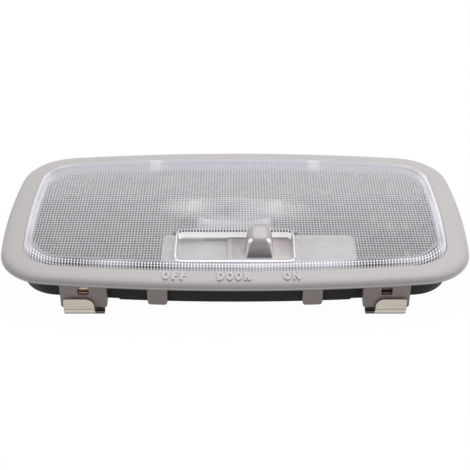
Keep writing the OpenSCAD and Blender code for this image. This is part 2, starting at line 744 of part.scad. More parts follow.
bezel();
lens();
rear_housing();
switch_base();
switch_knob();
slider_carriage();
contact_spring();
contact_bridge();
common_busbar();
power_busbar();
door_busbar();
ground_busbar();
bulb_glass();
bulb_cap(-1);  // bulb_cap_left
bulb_cap(1);  // bulb_cap_right
bulb_filament();
reflector();
spring_clip_front_left();
spring_clip_front_right();
spring_clip_rear_left();
spring_clip_rear_right();
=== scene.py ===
"""Dresses the car dome light: mouldings, the lens and its prisms, raised words, spring clips and finishes."""

import math

import bmesh
import bpy
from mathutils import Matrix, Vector


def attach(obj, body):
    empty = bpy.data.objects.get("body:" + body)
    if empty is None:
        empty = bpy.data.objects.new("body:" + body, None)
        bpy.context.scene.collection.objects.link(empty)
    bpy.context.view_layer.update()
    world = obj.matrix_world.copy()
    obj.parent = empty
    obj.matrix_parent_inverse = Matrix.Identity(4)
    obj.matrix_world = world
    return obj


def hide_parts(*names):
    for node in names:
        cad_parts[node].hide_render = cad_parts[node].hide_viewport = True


bl_info = {
    "name": "Dome Light Dresser",
    "version": (1, 0, 0),
    "blender": (4, 5, 0),
    "location": "View3D > Sidebar > Dome Light",
    "description": "Models and finishes an overhead cabin light on its CAD frame",
    "category": "Object",
}

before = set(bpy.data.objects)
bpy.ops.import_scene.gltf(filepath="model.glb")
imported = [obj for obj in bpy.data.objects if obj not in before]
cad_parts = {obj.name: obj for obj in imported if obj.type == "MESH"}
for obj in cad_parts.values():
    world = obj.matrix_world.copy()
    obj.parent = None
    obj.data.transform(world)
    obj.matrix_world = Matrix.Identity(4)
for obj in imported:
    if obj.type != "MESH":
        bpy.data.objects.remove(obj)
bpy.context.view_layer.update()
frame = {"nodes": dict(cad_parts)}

MM = 0.001
LAMP = "lamp"
KNOB = "knob"

# Heights and places that several pieces and finishes share
RIM_Z = 14.5 * MM
WINDOW_Y = -24.9 * MM
PRISM_PITCH = 1.115 * MM
PRISM_ROW = 1.6 * MM

# The prism sheet, the foot of the raised words, and the foot of the tongues at the top of the clips
SHEET_TOP = RIM_Z + 2.8 * MM
SHEET_THICKNESS = 0.2 * MM
WORD_FOOT = RIM_Z + 2.5 * MM
TONGUE_FOOT = RIM_Z - 6.4 * MM

# Half length and half depth, from the middle of the switch window, of its walls and of the hole in the prisms
WALL_REACH = (22.8 * MM, 10.4 * MM)
HOLE_REACH = (22.9 * MM, 10.6 * MM)

# Half length, half depth, side bow, front bow and corner radius in mm, outside and at the frame's inner edge
OUTER_EDGE = (88, 48, 4.6, 6.5, 21)
INNER_EDGE = (79.5, 39.5, 2.9, 5.3, 14)
FRAME_WIDTH = 8.5
PRISM_INSET = 10.4

# Depths of the surface relief that only the light shows
GRAIN_DEPTH = 0.04 * MM
STREAK_DEPTH = 0.03 * MM

# Middle, half length and half depth in mm of the painted reflections of the bright tray below, soft clouds in
# the middle of the lens
PAINTED_TRAY_REFLECTIONS = ((-18, 3.5, 15, 9), (15, 1.5, 18, 10), (-3, -7, 16, 8))

# Left and right edge in mm of each letter of the words on the frame
WORDS = (
    ("OFF", ((-25.9, -23.4), (-22.4, -20.3), (-19.5, -17.4))),
    ("DOOR", ((-6.2, -3.9), (-3.1, -0.6), (0.1, 2.5), (3.4, 5.7))),
    ("ON", ((17.3, 19.8), (20.7, 23.2))),
)
WORD_Y = -43.1 * MM
WORD_BOW_RADIUS = 600 * MM


# Outlines


def bowed_edge(inset):
    """Half length, half depth, side bow, front bow and corner radius of the outline at an inset, in mm."""
    share = inset / FRAME_WIDTH
    return [outer + share * (inner - outer) for outer, inner in zip(OUTER_EDGE, INNER_EDGE)]


def inside_outline(x, y, inset):
    """True where a point in mm lies inside the outline at an inset: four bowed sides with round corners."""
    half_x, half_y, side_bow, front_bow, corner = bowed_edge(inset)
    x, y = abs(x), abs(y)
    front = (half_x**2 + front_bow**2) / (2 * front_bow)
    side = (half_y**2 + side_bow**2) / (2 * side_bow)
    front_y, side_x = half_y - front, half_x - side
    if math.hypot(x, y - front_y) > front or math.hypot(x - side_x, y) > side:
        return False
    to_front, to_side = front - corner, side - corner
    gap = math.hypot(side_x, front_y)
    along = (to_front**2 - to_side**2 + gap**2) / (2 * gap)
    across = math.sqrt(to_front**2 - along**2)
    ux, uy = side_x / gap, -front_y / gap
    ends = [(along * ux - turn * across * uy, front_y + along * uy + turn * across * ux) for turn in (1, -1)]
    corner_x, corner_y = max(ends, key=sum)
    past_both = x > corner_x and y > corner_y
    return not (past_both and math.hypot(x - corner_x, y - corner_y) > corner)


def near_window(place, reach):
    """True within a half length and half depth of the middle of the switch window."""
    return abs(place.x) < reach[0] and abs(place.y - WINDOW_Y) < reach[1]


# Helpers for pieces


def select_only(*things):
    """Leaves object mode's selection as just these pieces, the first one active."""
    if bpy.context.mode != "OBJECT":
        bpy.ops.object.mode_set(mode="OBJECT")
    bpy.ops.object.select_all(action="DESELECT")
    for thing in things:
        thing.select_set(True)
    bpy.context.view_layer.objects.active = things[0]


def settle(piece):
    """Puts the piece's place into its mesh."""
    select_only(piece)
    bpy.ops.object.transform_apply(location=True, rotation=True, scale=True)


def new_piece(name):
    """The piece just added, under its own name."""
    piece = bpy.context.object
    piece.name = name
    piece.data.name = name
    return piece


def pick_faces(piece, test):
    """In edit mode, selects the faces whose centre and normal pass the test."""
    mesh = bmesh.from_edit_mesh(piece.data)
    for face in mesh.faces:
        face.select_set(test(face.calc_center_median(), face.normal))
    mesh.select_flush_mode()
    bmesh.update_edit_mesh(piece.data)


def finish_faces(piece, material, test):
    """Adds a material to the piece, for the faces whose centre and normal pass the test."""
    piece.data.materials.append(material)
    select_only(piece)
    bpy.ops.object.mode_set(mode="EDIT")
    bpy.ops.mesh.select_mode(type="FACE")
    pick_faces(piece, test)
    piece.active_material_index = len(piece.data.materials) - 1
    bpy.ops.object.material_slot_assign()
    bpy.ops.object.mode_set(mode="OBJECT")


def bevel_edges(piece, width, segments, angle):
    """Rounds every edge sharper than an angle in degrees."""
    mod = piece.modifiers.new("edge_round", "BEVEL")
    mod.width = width
    mod.segments = segments
    mod.limit_method = "ANGLE"
    mod.angle_limit = math.radians(angle)
    mod.harden_normals = False
    mod.use_clamp_overlap = True
    select_only(piece)
    bpy.ops.object.modifier_apply(modifier=mod.name)


def wear(piece, material, body):
    """Gives a piece its material and its body."""
    piece.data.materials.clear()
    piece.data.materials.append(material)
    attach(piece, body)


def moulded_copy(node, name, material, body, round_mm=0.0, angle=40, segments=2, flat=0.4):
    """A merged, rounded and smoothed copy of a CAD node that is shown in its place."""
    select_only(frame["nodes"][node])
    bpy.ops.object.duplicate(linked=False)
    piece = new_piece(name)
    for key in list(piece.keys()):
        del piece[key]
    piece.parent = None
    select_only(piece)
    bpy.ops.object.mode_set(mode="EDIT")
    bpy.ops.mesh.select_all(action="SELECT")
    bpy.ops.mesh.remove_doubles(threshold=0.002 * MM)
    bpy.ops.mesh.customdata_custom_splitnormals_clear()
    bpy.ops.mesh.dissolve_limited(angle_limit=math.radians(flat))
    bpy.ops.object.mode_set(mode="OBJECT")
    if round_mm:
        bevel_edges(piece, round_mm * MM, segments, angle)
    select_only(piece)
    bpy.ops.object.shade_smooth_by_angle(angle=math.radians(angle))
    wear(piece, material, body)
    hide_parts(node)
    return piece


# Helpers for shader nodes


def feed(tree, value, socket):
    """Links an output to a socket, or sets the socket to a plain value."""
    if isinstance(value, bpy.types.NodeSocket):
        tree.links.new(value, socket)
    else:
        socket.default_value = value


def calc(tree, operation, *values):
    """A Math node's output, fed by outputs or numbers."""
    node = tree.nodes.new("ShaderNodeMath")
    node.operation = operation
    for value, socket in zip(values, node.inputs):
        feed(tree, value, socket)
    return node.outputs[0]


def chain(tree, operation, values):
    """One Math operation along a row of values."""
    result = values[0]
    for value in values[1:]:
        result = calc(tree, operation, result, value)
    return result


def times(tree, *values):
    return chain(tree, "MULTIPLY", values)


def plus(tree, *values):
    return chain(tree, "ADD", values)


def most(tree, *values):
    return chain(tree, "MAXIMUM", values)


def minus(tree, value, other):
    return calc(tree, "SUBTRACT", value, other)


def invert(tree, value):
    """One minus a value."""
    return minus(tree, 1.0, value)


def dimmed(tree, mask, share):
    """A tone of one that falls by a share where the mask is one."""
    return invert(tree, times(tree, mask, share))


def clamp(tree, value):
    """A value kept from 0 to 1."""
    return calc(tree, "MINIMUM", most(tree, value, 0.0), 1.0)


def ramp(tree, value, low, span):
    """Rises from 0 at a low value to 1 over a span."""
    return clamp(tree, calc(tree, "DIVIDE", minus(tree, value, low), span))


def fall(tree, value, low, span):
    """Falls from 1 at a low value to 0 over a span."""
    return invert(tree, ramp(tree, value, low, span))


def below(tree, value, limit):
    """One where a value is less than a limit."""
    return calc(tree, "LESS_THAN", value, limit)


def away(tree, value, middle):
    """How far a value is from a middle, either way."""
    return calc(tree, "ABSOLUTE", minus(tree, value, middle))


def distance(tree, x, y):
    """The length of a line that runs this far across and along."""
    return calc(tree, "SQRT", plus(tree, times(tree, x, x), times(tree, y, y)))


def object_place(tree):
    """X, Y and Z on the object."""
    place = tree.nodes.new("ShaderNodeTexCoord")
    return split_vector(tree, place.outputs["Object"])


def split_vector(tree, vector):
    split = tree.nodes.new("ShaderNodeSeparateXYZ")
    tree.links.new(vector, split.inputs[0])
    return [split.outputs[axis] for axis in "XYZ"]


def join_vector(tree, *values):
    join = tree.nodes.new("ShaderNodeCombineXYZ")
    for value, socket in zip(values, join.inputs):
        feed(tree, value, socket)
    return join.outputs[0]


def noise(tree, vector, scale, detail):
    """A noise texture's value."""
    node = tree.nodes.new("ShaderNodeTexNoise")
    node.inputs["Detail"].default_value = detail
    tree.links.new(vector, node.inputs["Vector"])
    feed(tree, scale, node.inputs["Scale"])
    return node.outputs["Fac"]


def cell_offset(tree, value, pitch):
    """How far a value is from the middle of its cell, from -0.5 to 0.5 of a cell."""
    whole_cells_above_nought = 1000.0
    cells = plus(tree, calc(tree, "DIVIDE", value, pitch), whole_cells_above_nought)
    return minus(tree, calc(tree, "FRACT", cells), 0.5)


def oval(tree, across, along, wide, tall, crisp=2.5):
    """An oval mask from two cell offsets and its two sizes; its edge is soft unless it is made crisp."""
    x = calc(tree, "DIVIDE", across, times(tree, wide, 0.5))
    y = calc(tree, "DIVIDE", along, times(tree, tall, 0.5))
    return clamp(tree, times(tree, invert(tree, distance(tree, x, y)), crisp))


def soft_patch(tree, x, y, wide, tall):
    """A soft oval, one in its middle and nothing at its half sizes."""
    across, along = calc(tree, "DIVIDE", x, wide), calc(tree, "DIVIDE", y, tall)
    return most(tree, invert(tree, distance(tree, across, along)), 0.0)


def rounded_distance(tree, x, y, half_x, half_y, radius):
    """Distance outside a rounded rectangle, less than zero inside it."""
    out_x = plus(tree, minus(tree, calc(tree, "ABSOLUTE", x), half_x), radius)
    out_y = plus(tree, minus(tree, calc(tree, "ABSOLUTE", y), half_y), radius)
    outside = distance(tree, most(tree, out_x, 0.0), most(tree, out_y, 0.0))
    within = calc(tree, "MINIMUM", most(tree, out_x, out_y), 0.0)
    return minus(tree, plus(tree, outside, within), radius)


# Shader groups


def group_tree(name, inputs, outputs):
    """An empty shader group: number inputs with their defaults, and number outputs."""
    tree = bpy.data.node_groups.new(name, "ShaderNodeTree")
    for title, default in inputs.items():
        socket = tree.interface.new_socket(name=title, in_out="INPUT", socket_type="NodeSocketFloat")
        socket.default_value = default
    for title in outputs:
        tree.interface.new_socket(name=title, in_out="OUTPUT", socket_type="NodeSocketFloat")
    return tree, tree.nodes.new("NodeGroupInput"), tree.nodes.new("NodeGroupOutput")


def place_group(tree, name, maker, **values):
    """The outputs of a group, made at its first use, with its inputs set by their names."""
    node = tree.nodes.new("ShaderNodeGroup")
    node.node_tree = bpy.data.node_groups.get(name) or maker(name)
    for key, value in values.items():
        node.inputs[key.replace("_", " ")].default_value = value
    return node.outputs


def make_grain_group(name):
    """Moulding grain and soft blotches: a height for bump, and a tone about one."""
    inputs = {"Grain Scale": 2600.0, "Blotch Scale": 55.0, "Blotch": 0.04}
    tree, gin, gout = group_tree(name, inputs, ("Height", "Tone"))
    place = tree.nodes.new("ShaderNodeTexCoord").outputs["Object"]
    fine = noise(tree, place, gin.outputs["Grain Scale"], 3.0)
    broad = noise(tree, place, gin.outputs["Blotch Scale"], 4.0)
    swing = times(tree, minus(tree, broad, 0.5), gin.outputs["Blotch"])
    tree.links.new(fine, gout.inputs["Height"])
    tree.links.new(plus(tree, times(tree, swing, 2.0), 1.0), gout.inputs["Tone"])
    return tree


def make_streak_group(name):
    """Fine rolled streaks along X on sheet metal."""
    tree, gin, gout = group_tree(name, {"Along": 60.0, "Across": 2600.0}, ("Streak",))
    x, y, z = object_place(tree)
    along, across = gin.outputs["Along"], gin.outputs["Across"]
    stretched = join_vector(tree, times(tree, x, along), times(tree, y, across), times(tree, z, across))
    tree.links.new(noise(tree, stretched, 1.0, 2.0), gout.inputs["Streak"])
    return tree


def make_prism_group(name):
    """Cells on X and Y with a soft, uneven spot in each; the spots run together into columns at the rear."""
    inputs = {"Pitch": PRISM_PITCH, "Row": PRISM_ROW, "Spot": 0.8}
    tree, gin, gout = group_tree(name, inputs, ("Spots",))
    pitch, row = gin.outputs["Pitch"], gin.outputs["Row"]
    x, y, _ = object_place(tree)
    across = cell_offset(tree, x, pitch)
    squeeze = dimmed(tree, ramp(tree, y, 14 * MM, 18 * MM), 0.75)
    along = times(tree, cell_offset(tree, y, row), squeeze)
    at_front = ramp(tree, times(tree, y, -1.0), 12 * MM, 22 * MM)
    wide = plus(tree, gin.outputs["Spot"], times(tree, at_front, 0.14))
    cell = [calc(tree, "FLOOR", calc(tree, "DIVIDE", *pair)) for pair in ((x, pitch), (y, row))]
    chance = tree.nodes.new("ShaderNodeTexWhiteNoise")
    tree.links.new(join_vector(tree, *cell), chance.inputs["Vector"])
    uneven = plus(tree, 0.84, times(tree, chance.outputs["Value"], 0.24))
    tree.links.new(times(tree, oval(tree, across, along, wide, wide), uneven), gout.inputs["Spots"])
    return tree


def front_dots(tree, x, column, inside, row):
    """Dots in rows along the front edge, in slow swells and fainter right of the middle."""
    swell_length, swell_left = 27 * MM, -58 * MM
    wave = calc(tree, "COSINE", times(tree, minus(tree, x, swell_left), math.tau / swell_length))
    swell = plus(tree, 0.86, times(tree, wave, 0.14))
    fainter = fall(tree, away(tree, x, 12 * MM), 18 * MM, 14 * MM)
    along = cell_offset(tree, plus(tree, inside, 1.35 * MM), row)
    return times(tree, oval(tree, column, along, 0.86, 1.05, 6.0), swell, dimmed(tree, fainter, 0.4))


def window_marks(tree, x, y, half_x, half_y, column):
    """The switch window's rim, and the dark marks beside it: a painted shade line in front and a row of dots
    behind.
    """
    corner, border = 2.4 * MM, 0.8 * MM
    edge = minus(tree, rounded_distance(tree, x, y, half_x, half_y, corner), border)
    nearer = 0.7 * MM
    wider = rounded_distance(tree, x, plus(tree, y, nearer), half_x, plus(tree, half_y, nearer), corner)
    rim = times(tree, fall(tree, wider, 0.3 * MM, 0.3 * MM), fall(tree, y, 7.4 * MM, MM))
    # Painted shade: a dark line along the front of the window
    line = times(tree, below(tree, edge, 0.0), below(tree, y, -8.5 * MM), 0.6)
    dots = oval(tree, column, calc(tree, "DIVIDE", edge, 1.4 * MM), 0.95, 1.2)
    at_edge = below(tree, calc(tree, "ABSOLUTE", edge), border)
    row = times(tree, calc(tree, "GREATER_THAN", y, 6 * MM), at_edge, dots, 0.4)
    return rim, most(tree, line, row)


def make_border_group(name):
    """Masks of the lens: border, rear and front bands, window rim, dark dots, snap tabs and rear stripes; the
    dots take in a painted shade line before the window, and the stripes a painted shadow along the rear edge.
    """
    inputs = {
        "Half Length": 79.35 * MM,
        "Half Depth": 39.35 * MM,
        "Side Bow": 2.9 * MM,
        "Front Bow": 5.3 * MM,
        "Corner": 14 * MM,
        "Side Band": 2.6 * MM,
        "Rear Band": 10.4 * MM,
        "Top": 18.9 * MM,
        "Pitch": PRISM_PITCH,
        "Row": 1.5 * MM,
        "Window Y": WINDOW_Y,
        "Window Length": 21.5 * MM,
        "Window Depth": 9.5 * MM,
    }
    outputs = ("Border", "Rear", "Front", "Rim", "Dots", "Tabs", "Stripes")
    tree, gin, gout = group_tree(name, inputs, outputs)
    given = gin.outputs
    x, y, z = object_place(tree)
    forwards = times(tree, y, -1.0)
    at_rear = calc(tree, "GREATER_THAN", y, 0.0)
    column = cell_offset(tree, x, given["Pitch"])

    # The bowed outline
    u = calc(tree, "DIVIDE", x, given["Half Length"])
    v = calc(tree, "DIVIDE", y, given["Half Depth"])
    bow_x = minus(tree, given["Half Length"], times(tree, v, v, given["Side Bow"]))
    bow_y = minus(tree, given["Half Depth"], times(tree, u, u, given["Front Bow"]))
    outline = rounded_distance(tree, x, y, bow_x, bow_y, given["Corner"])
    to_rear = minus(tree, bow_y, y)

    # The border, narrower in front, and what lies along the rear edge
    side_band = times(tree, given["Side Band"], dimmed(tree, ramp(tree, forwards, 12 * MM, 20 * MM), 0.6))
    border = ramp(tree, plus(tree, outline, side_band), -MM, 2.4 * MM)
    rear = ramp(tree, minus(tree, given["Rear Band"], to_rear), 0.0, 6 * MM)
    beside_tab = away(tree, calc(tree, "ABSOLUTE", x), 32.6 * MM)
    tabs = fall(tree, beside_tab, 1.5 * MM, 1.6 * MM)
    tabs = times(tree, tabs, fall(tree, to_rear, 6 * MM, 5 * MM), at_rear)
    stripes = fall(tree, calc(tree, "ABSOLUTE", column), 0.1, 0.3)
    stripes = times(tree, stripes, ramp(tree, to_rear, 3.5 * MM, 3 * MM), rear)
    # Painted shadow: a dark seam along the rear edge
    rear_edge_painted_shadow = times(tree, below(tree, to_rear, 2.1 * MM), at_rear, 0.3)

    # The front edge, where depth below the top counts as distance inwards
    inside = minus(tree, minus(tree, z, given["Top"]), outline)
    ahead = fall(tree, calc(tree, "ABSOLUTE", u), 0.93, 0.05)
    ahead = times(tree, ahead, ramp(tree, forwards, 20 * MM, 6 * MM))
    front = times(tree, ahead, fall(tree, inside, 1.4 * MM, 2.4 * MM))
    dots = front_dots(tree, x, column, inside, given["Row"])
    dots = times(tree, dots, ahead, fall(tree, inside, 2.8 * MM, 0.6 * MM))

    from_window = minus(tree, y, given["Window Y"])
    rim, marks = window_marks(tree, x, from_window, given["Window Length"], given["Window Depth"], column)
    masks = (border, rear, front, rim, most(tree, dots, marks), tabs, most(tree, stripes, rear_edge_painted_shadow))
    for title, mask in zip(outputs, masks):
        tree.links.new(mask, gout.inputs[title])
    return tree


# Parts of a material


def blank_material(name):
    """A new material, its node tree and its Principled shader."""
    material = bpy.data.materials.new(name)
    material.use_nodes = True
    tree = material.node_tree
    return material, tree, tree.nodes["Principled BSDF"]


def grain(tree, **values):
    """The moulding grain's outputs, Height and Tone."""
    return place_group(tree, "MouldGrain", make_grain_group, **values)


def mix_colours(tree, blend, share, a, b):
    """A colour mixed from two."""
    node = tree.nodes.new("ShaderNodeMix")
    node.data_type = "RGBA"
    node.blend_type = blend
    for title, value in (("Factor", share), ("A", a), ("B", b)):
        feed(tree, value, node.inputs[title])
    return node.outputs["Result"]


def tint(tree, colour, tone, shader):
    """Base colour times a tone about one."""
    mixed = mix_colours(tree, "MULTIPLY", 1.0, (*colour, 1.0), tone)
    tree.links.new(mixed, shader.inputs["Base Color"])


def bump(tree, height, shader, strength, depth):
    """Surface relief that only the light shows."""
    node = tree.nodes.new("ShaderNodeBump")
    node.inputs["Strength"].default_value = strength
    node.inputs["Distance"].default_value = depth
    tree.links.new(height, node.inputs["Height"])
    tree.links.new(node.outputs["Normal"], shader.inputs["Normal"])


def painted_camera_glow(tree, shader, strength):
    """Painted light that only the camera sees: an emission standing in for highlights and for light that
    plastic gathers from behind.
    """
    seen = tree.nodes.new("ShaderNodeLightPath").outputs["Is Camera Ray"]
    tree.links.new(times(tree, strength, seen), shader.inputs["Emission Color"])
    shader.inputs["Emission Strength"].default_value = 1.0


def let_light_in(tree, alpha, share):
    """An alpha that is less for light passing through than for the eye, as clear plastic scatters it."""
    path = tree.nodes.new("ShaderNodeLightPath").outputs
    light = most(tree, path["Is Shadow Ray"], path["Is Diffuse Ray"])
    return times(tree, alpha, dimmed(tree, light, share))


def seen_sharply(tree):
    """One for what the camera sees straight, through clear plastic or mirrored."""
    path = tree.nodes.new("ShaderNodeLightPath").outputs
    return most(tree, path["Is Camera Ray"], path["Is Transmission Ray"], path["Is Glossy Ray"])


def painted_shade_under_wall(tree, y):
    """Painted shade: a tone that is low in the narrow strip where a plate passes under the wall behind the
    window.
    """
    strip_front, strip_rear = -16.6 * MM, -15.4 * MM
    strip = times(tree, ramp(tree, y, strip_front, 0.3 * MM), fall(tree, y, strip_rear, 0.2 * MM))
    return dimmed(tree, strip, 0.25)


# Materials


def plastic(name, colour, roughness, blotch=0.03, relief=0.12, grain_scale=2600.0, shine=0.3):
    """A moulded plastic with a fine grain."""
    material, tree, shader = blank_material(name)
    grained = grain(tree, Grain_Scale=grain_scale, Blotch=blotch)
    tint(tree, colour, grained["Tone"], shader)
    tree.links.new(times(tree, grained["Tone"], roughness), shader.inputs["Roughness"])
    shader.inputs["Specular IOR Level"].default_value = shine
    bump(tree, grained["Height"], shader, relief, GRAIN_DEPTH)
    return material


def plate_plastic(name, colour):
    """The plate below the switch window, with painted light on the rear wall of its slot and painted shade
    where it passes under the wall.
    """
    material, tree, shader = blank_material(name)
    grained = grain(tree)
    _, y, z = object_place(tree)
    tint(tree, colour, times(tree, grained["Tone"], painted_shade_under_wall(tree, y)), shader)
    # Painted light: a glow on the rear wall of the slot, which would otherwise lie in shade
    slot_rear_y, reach = -14.7 * MM, 0.12 * MM
    painted_light_on_slot_wall = times(tree, below(tree, away(tree, y, slot_rear_y), reach), below(tree, z, RIM_Z + reach))
    painted_camera_glow(tree, shader, times(tree, painted_light_on_slot_wall, 0.16))
    shader.inputs["Roughness"].default_value = 0.5
    shader.inputs["Specular IOR Level"].default_value = 0.3
    bump(tree, grained["Height"], shader, 0.12, GRAIN_DEPTH)
    return material


def frame_plastic(name, colour):
    """The frame's plastic with painted shade and a warm painted reflection, darker and warmer on the legs
    below the rim, and lighter again on the hooks.
    """
    material, tree, shader = blank_material(name)
    grained = grain(tree, Blotch=0.03)
    x, _, z = object_place(tree)
    # Painted shade and warm painted reflection: darker and warmer on the legs below the rim, lighter again on
    # the hooks
    above = ramp(tree, z, RIM_Z - 0.6 * MM, 0.4 * MM)
    hooks = times(tree, fall(tree, calc(tree, "ABSOLUTE", x), 36 * MM, 2 * MM), invert(tree, above))
    tone = times(tree, grained["Tone"], plus(tree, 1.0, times(tree, hooks, 0.2)))
    leg_painted_shade = [part * share for part, share in zip(colour, (0.94, 0.86, 0.84))]
    mixed = mix_colours(tree, "MIX", above, (*leg_painted_shade, 1.0), (*colour, 1.0))
    tree.links.new(mix_colours(tree, "MULTIPLY", 1.0, mixed, tone), shader.inputs["Base Color"])
    tree.links.new(times(tree, grained["Tone"], 0.4), shader.inputs["Roughness"])
    shader.inputs["Specular IOR Level"].default_value = 0.32
    bump(tree, grained["Height"], shader, 0.12, GRAIN_DEPTH)
    return material


def knob_plastic(name, colour):
    """Glossy plastic, with painted shade at the foot of the knob's front and painted light at its top, a
    painted shadow beside the knob and painted light on the rest of the cover plate, painted shade under the
    wall, and painted highlights on its shoulders.
    """
    material, tree, shader = blank_material(name)
    grained = grain(tree, Blotch=0.02)
    x, y, z = object_place(tree)
    normal = tree.nodes.new("ShaderNodeNewGeometry").outputs["Normal"]
    facing_x, facing_y, facing_z = split_vector(tree, normal)
    facing_front = times(tree, facing_y, -1.0)

    # Painted light and shade on the knob's front: darker at its foot, lighter at its top
    forwards = ramp(tree, facing_front, 0.55, 0.3)
    low = fall(tree, z, RIM_Z + MM, 5 * MM)
    face = plus(tree, 1.0, times(tree, forwards, minus(tree, 0.3, times(tree, low, 0.86))))
    # Painted shadow of the knob on the cover plate beside it, and painted light on the rest of the plate
    painted_knob_shadow = fall(tree, away(tree, x, 1.5 * MM), 2.4 * MM, 0.3 * MM)
    plate_level = fall(tree, z, RIM_Z + 1.3 * MM, 0.2 * MM)
    lighter = minus(tree, 0.18, times(tree, painted_knob_shadow, 0.24))
    plate = plus(tree, 1.0, times(tree, plate_level, lighter))
    tint(tree, colour, times(tree, grained["Tone"], face, plate, painted_shade_under_wall(tree, y)), shader)

    # Painted highlights on the knob's shoulders
    sideways = ramp(tree, calc(tree, "ABSOLUTE", facing_x), 0.3, 0.15)
    painted_shoulder_highlight = times(tree, sideways, ramp(tree, facing_front, 0.3, 0.15), ramp(tree, facing_z, 0.14, 0.3))
    painted_camera_glow(tree, shader, times(tree, painted_shoulder_highlight, 0.6))
    shader.inputs["Roughness"].default_value = 0.2
    bump(tree, grained["Height"], shader, 0.04, GRAIN_DEPTH)
    return material


def rolled_metal(name):
    """A new metal with fine rolled streaks, and their tone about one."""
    material, tree, shader = blank_material(name)
    streak = place_group(tree, "RolledStreaks", make_streak_group)["Streak"]
    shader.inputs["Metallic"].default_value = 1.0
    bump(tree, streak, shader, 0.15, STREAK_DEPTH)
    return material, tree, shader, plus(tree, times(tree, streak, 0.18), 0.91)


def sheet_metal(name, colour, roughness):
    """Rolled strip."""
    material, tree, shader, tone = rolled_metal(name)
    tint(tree, colour, tone, shader)
    tree.links.new(times(tree, tone, roughness), shader.inputs["Roughness"])
    return material


def clip_metal(name, colour):
    """Clip strip with painted shade where it turns under the leg and on its sole, a fine painted shade line
    along the fold of the leaf, and painted light on the lip below the fold.
    """
    material, tree, shader, tone = rolled_metal(name)
    x, _, z = object_place(tree)
    # Painted shade: dark where the strip turns under the leg, and darker on its sole
    painted_shade_under_leg = fall(tree, calc(tree, "ABSOLUTE", x), 50.7 * MM, 0.2 * MM)
    painted_shade_under_leg = times(tree, painted_shade_under_leg, fall(tree, z, 3 * MM, 0.3 * MM))
    painted_shade_on_sole = below(tree, z, 1.4 * MM)
    # Painted shade: a fine dark line along the fold; painted light: the lip below it is lighter
    fold = below(tree, away(tree, z, 3.2 * MM), 0.24 * MM)
    painted_light_on_lip = plus(tree, 1.0, times(tree, below(tree, z, 3 * MM), 0.12))
    leaf = minus(tree, painted_light_on_lip, times(tree, fold, 0.4))
    tone = times(tree, tone, leaf, dimmed(tree, painted_shade_under_leg, 0.8), dimmed(tree, painted_shade_on_sole, 0.6))
    tint(tree, colour, tone, shader)
    shader.inputs["Roughness"].default_value = 0.3
    return material


def clear_glass(name):
    """The bulb's glass, dulled a little."""
    material, tree, shader = blank_material(name)
    tint(tree, (0.95, 0.95, 0.97), grain(tree, Grain_Scale=300.0)["Tone"], shader)
    shader.inputs["Roughness"].default_value = 0.25
    shader.inputs["Alpha"].default_value = 0.3
    return material


def clear_lens(name):
    """The skin of the lens: thin over the prisms, denser on its border and tabs, dotted along its front, with
    painted light that lightens its window rim and front band and glows on its border, rim, front band and
    tabs.
    """
    material, tree, shader = blank_material(name)
    masks = place_group(tree, "LensBorder", make_border_group)
    # Painted light: the window rim and front band are lighter
    tone = plus(tree, 1.0, times(tree, most(tree, masks["Rim"], masks["Front"]), 0.16))
    for title, share in (("Dots", 0.93), ("Rear", 0.28), ("Stripes", 0.5)):
        tone = times(tree, tone, dimmed(tree, masks[title], share))
    tint(tree, bpy.context.scene.dome_light_colours.lens, tone, shader)
    # Painted light: glows on the border, window rim, front band and tabs
    painted_light_shares = (("Border", 0.1), ("Rim", 0.14), ("Front", 0.12), ("Tabs", 0.13))
    glow = plus(tree, *[times(tree, masks[title], share) for title, share in painted_light_shares])
    painted_camera_glow(tree, shader, times(tree, glow, invert(tree, masks["Dots"])))
    edge = times(tree, most(tree, masks["Border"], masks["Rear"]), 0.84)
    window = times(tree, most(tree, masks["Rim"], masks["Dots"]), 0.85)
    dense = most(tree, edge, times(tree, masks["Front"], 0.8), window)
    tree.links.new(let_light_in(tree, plus(tree, dense, 0.06), 0.93), shader.inputs["Alpha"])
    shader.inputs["Roughness"].default_value = 0.06
    shader.inputs["Specular IOR Level"].default_value = 0.2
    return material


def lens_inside(name):
    """The flat back of the prism sheet, buried in the lens and all but unseen."""
    material, tree, shader = blank_material(name)
    grained = grain(tree, Grain_Scale=500.0, Blotch=0.02)
    tint(tree, bpy.context.scene.dome_light_colours.lens, grained["Tone"], shader)
    shader.inputs["Alpha"].default_value = 0.02
    return material


def lens_wall(name, colour, glow):
    """A milky wall of the switch window; one that glows carries painted light, and has a row of prisms along
    its top.
    """
    material, tree, shader = blank_material(name)
    tone = grain(tree, Grain_Scale=500.0, Blotch=0.05)["Tone"]
    if glow:
        x, _, z = object_place(tree)
        height = calc(tree, "DIVIDE", minus(tree, z, 18.5 * MM), 0.9 * MM)
        points = oval(tree, cell_offset(tree, x, PRISM_PITCH), height, 0.85, 1.2, 5.0)
        above = calc(tree, "GREATER_THAN", z, 18.9 * MM)
        top = invert(tree, most(tree, times(tree, points, 0.93), times(tree, above, 0.35)))
        tone = times(tree, tone, top)
        # Painted light: the wall glows to the camera
        painted_camera_glow(tree, shader, times(tree, top, glow))
    tint(tree, colour, tone, shader)
    shader.inputs["Roughness"].default_value = 0.15
    shader.inputs["Alpha"].default_value = 0.9
    return material


